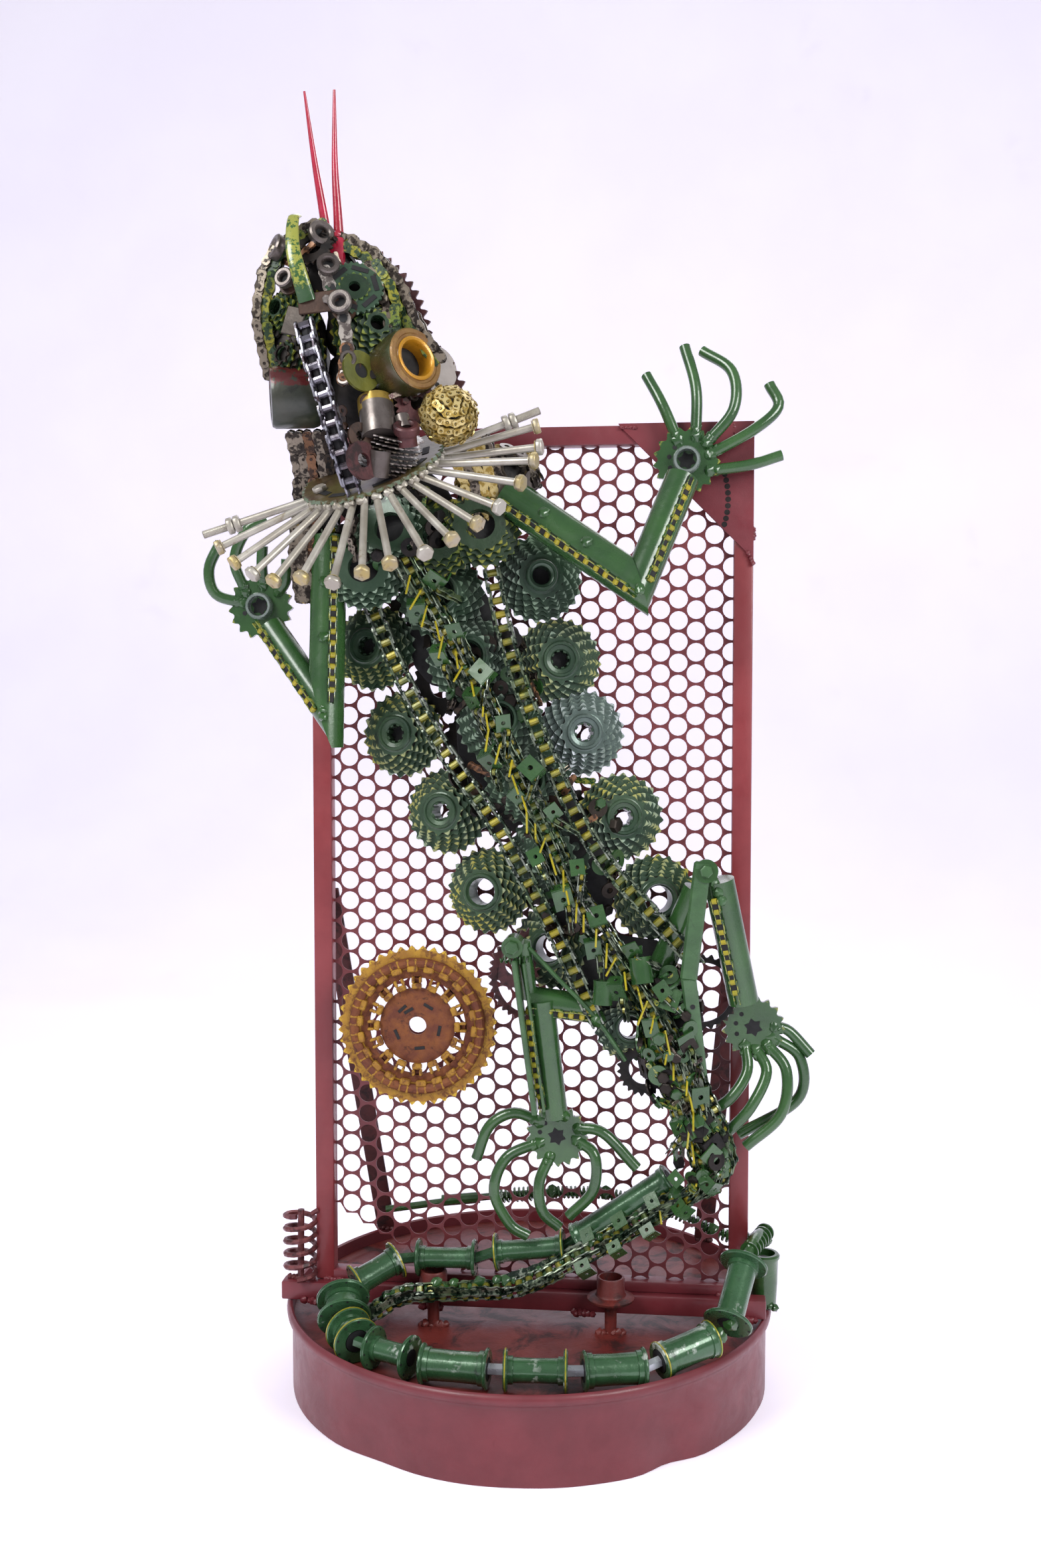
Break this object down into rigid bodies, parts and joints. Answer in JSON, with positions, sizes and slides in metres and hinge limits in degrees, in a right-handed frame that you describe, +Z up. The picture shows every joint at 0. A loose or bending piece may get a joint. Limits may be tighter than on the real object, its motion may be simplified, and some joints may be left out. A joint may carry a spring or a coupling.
{
  "type": "scrap metal lizard sculpture",
  "caption": "Welded lizard of cogs, chains, wheel hubs and bolts climbing a punched steel panel that stands in a frame on a cut-off steel drum.",
  "frame": {"origin": "middle of the whole object's box in plan, on the floor; the drum's axis stands 14 mm towards +X and 6 mm towards +Y of it", "axes": "+Z up; -Y is the front, which the lizard's back faces; +X is to the right as seen from the front"},
  "size_m": [0.6949, 0.5996, 1.4553],
  "materials": {
    "oxide_paint": "red-brown oxide paint, satin, with dust and worn edges",
    "green_enamel": "thick glossy green enamel over rough scrap, thin on edges",
    "green_cogs": "green enamel with yellow dry-brushed on teeth and dirt between cogs",
    "yellow_rust": "mustard paint brushed over rusted steel",
    "maroon_paint": "dark red paint over green",
    "bronze_paint": "bronze-green paint with a gold inner lip",
    "bare_chain": "bright nickel-plated chain plates with dark joints",
    "zinc_bolts": "dull zinc-plated bolts with yellowed heads",
    "tongue_red": "glossy red enamel"
  },
  "bodies": {
    "root": {"back_brace_left": "oxide_paint", "back_brace_right": "oxide_paint", "bolt_collar": "zinc_bolts", "chainring_small": "maroon_paint", "chainring_yellow": "yellow_rust", "coil_spring": "oxide_paint", "crossbar": "oxide_paint", "drum_head": "oxide_paint", "drum_wall": "oxide_paint", "eye_left": "maroon_paint", "eye_right": "bronze_paint", "foot_left": "green_enamel", "foot_right": "green_enamel", "forearm_left": "green_enamel", "forearm_right": "green_enamel", "frame_bottom_rail": "oxide_paint", "frame_post_left": "oxide_paint", "frame_post_right": "oxide_paint", "frame_top_rail": "oxide_paint", "freewheel_hip": "green_cogs", "freewheel_left_1": "green_cogs", "freewheel_left_2": "green_cogs", "freewheel_left_3": "green_cogs", "freewheel_left_4": "green_cogs", "freewheel_left_5": "green_cogs", "freewheel_right_1": "green_cogs", "freewheel_right_2": "green_cogs", "freewheel_right_3": "green_cogs", "freewheel_right_4": "green_cogs", "freewheel_right_5": "green_cogs", "freewheels_middle": "green_cogs", "gusset": "oxide_paint", "hand_left": "green_enamel", "hand_right": "green_enamel", "head_chain": "bare_chain", "headset_cup_left": "oxide_paint", "headset_cup_right": "oxide_paint", "jaw_chain_right": "green_enamel", "nape": "green_enamel", "neck_right": "green_enamel", "punched_panel": "oxide_paint", "shin_left": "green_enamel", "shin_right": "green_enamel", "side_chain_left": "green_enamel", "side_chain_right": "green_enamel", "skull": "green_enamel", "snout": "green_enamel", "spine_chain": "green_enamel", "tail_chain": "green_enamel", "tail_cup": "green_enamel", "tail_hub_rise": "green_enamel", "tail_hubs_crossbar": "green_enamel", "tail_hubs_front": "green_enamel", "tail_hubs_turn": "green_enamel", "tail_rear": "green_enamel", "thigh_left": "green_enamel", "thigh_right": "green_enamel", "tongue": "tongue_red", "upper_arm_left": "green_enamel", "upper_arm_right": "green_enamel"}
  },
  "joints": []
}
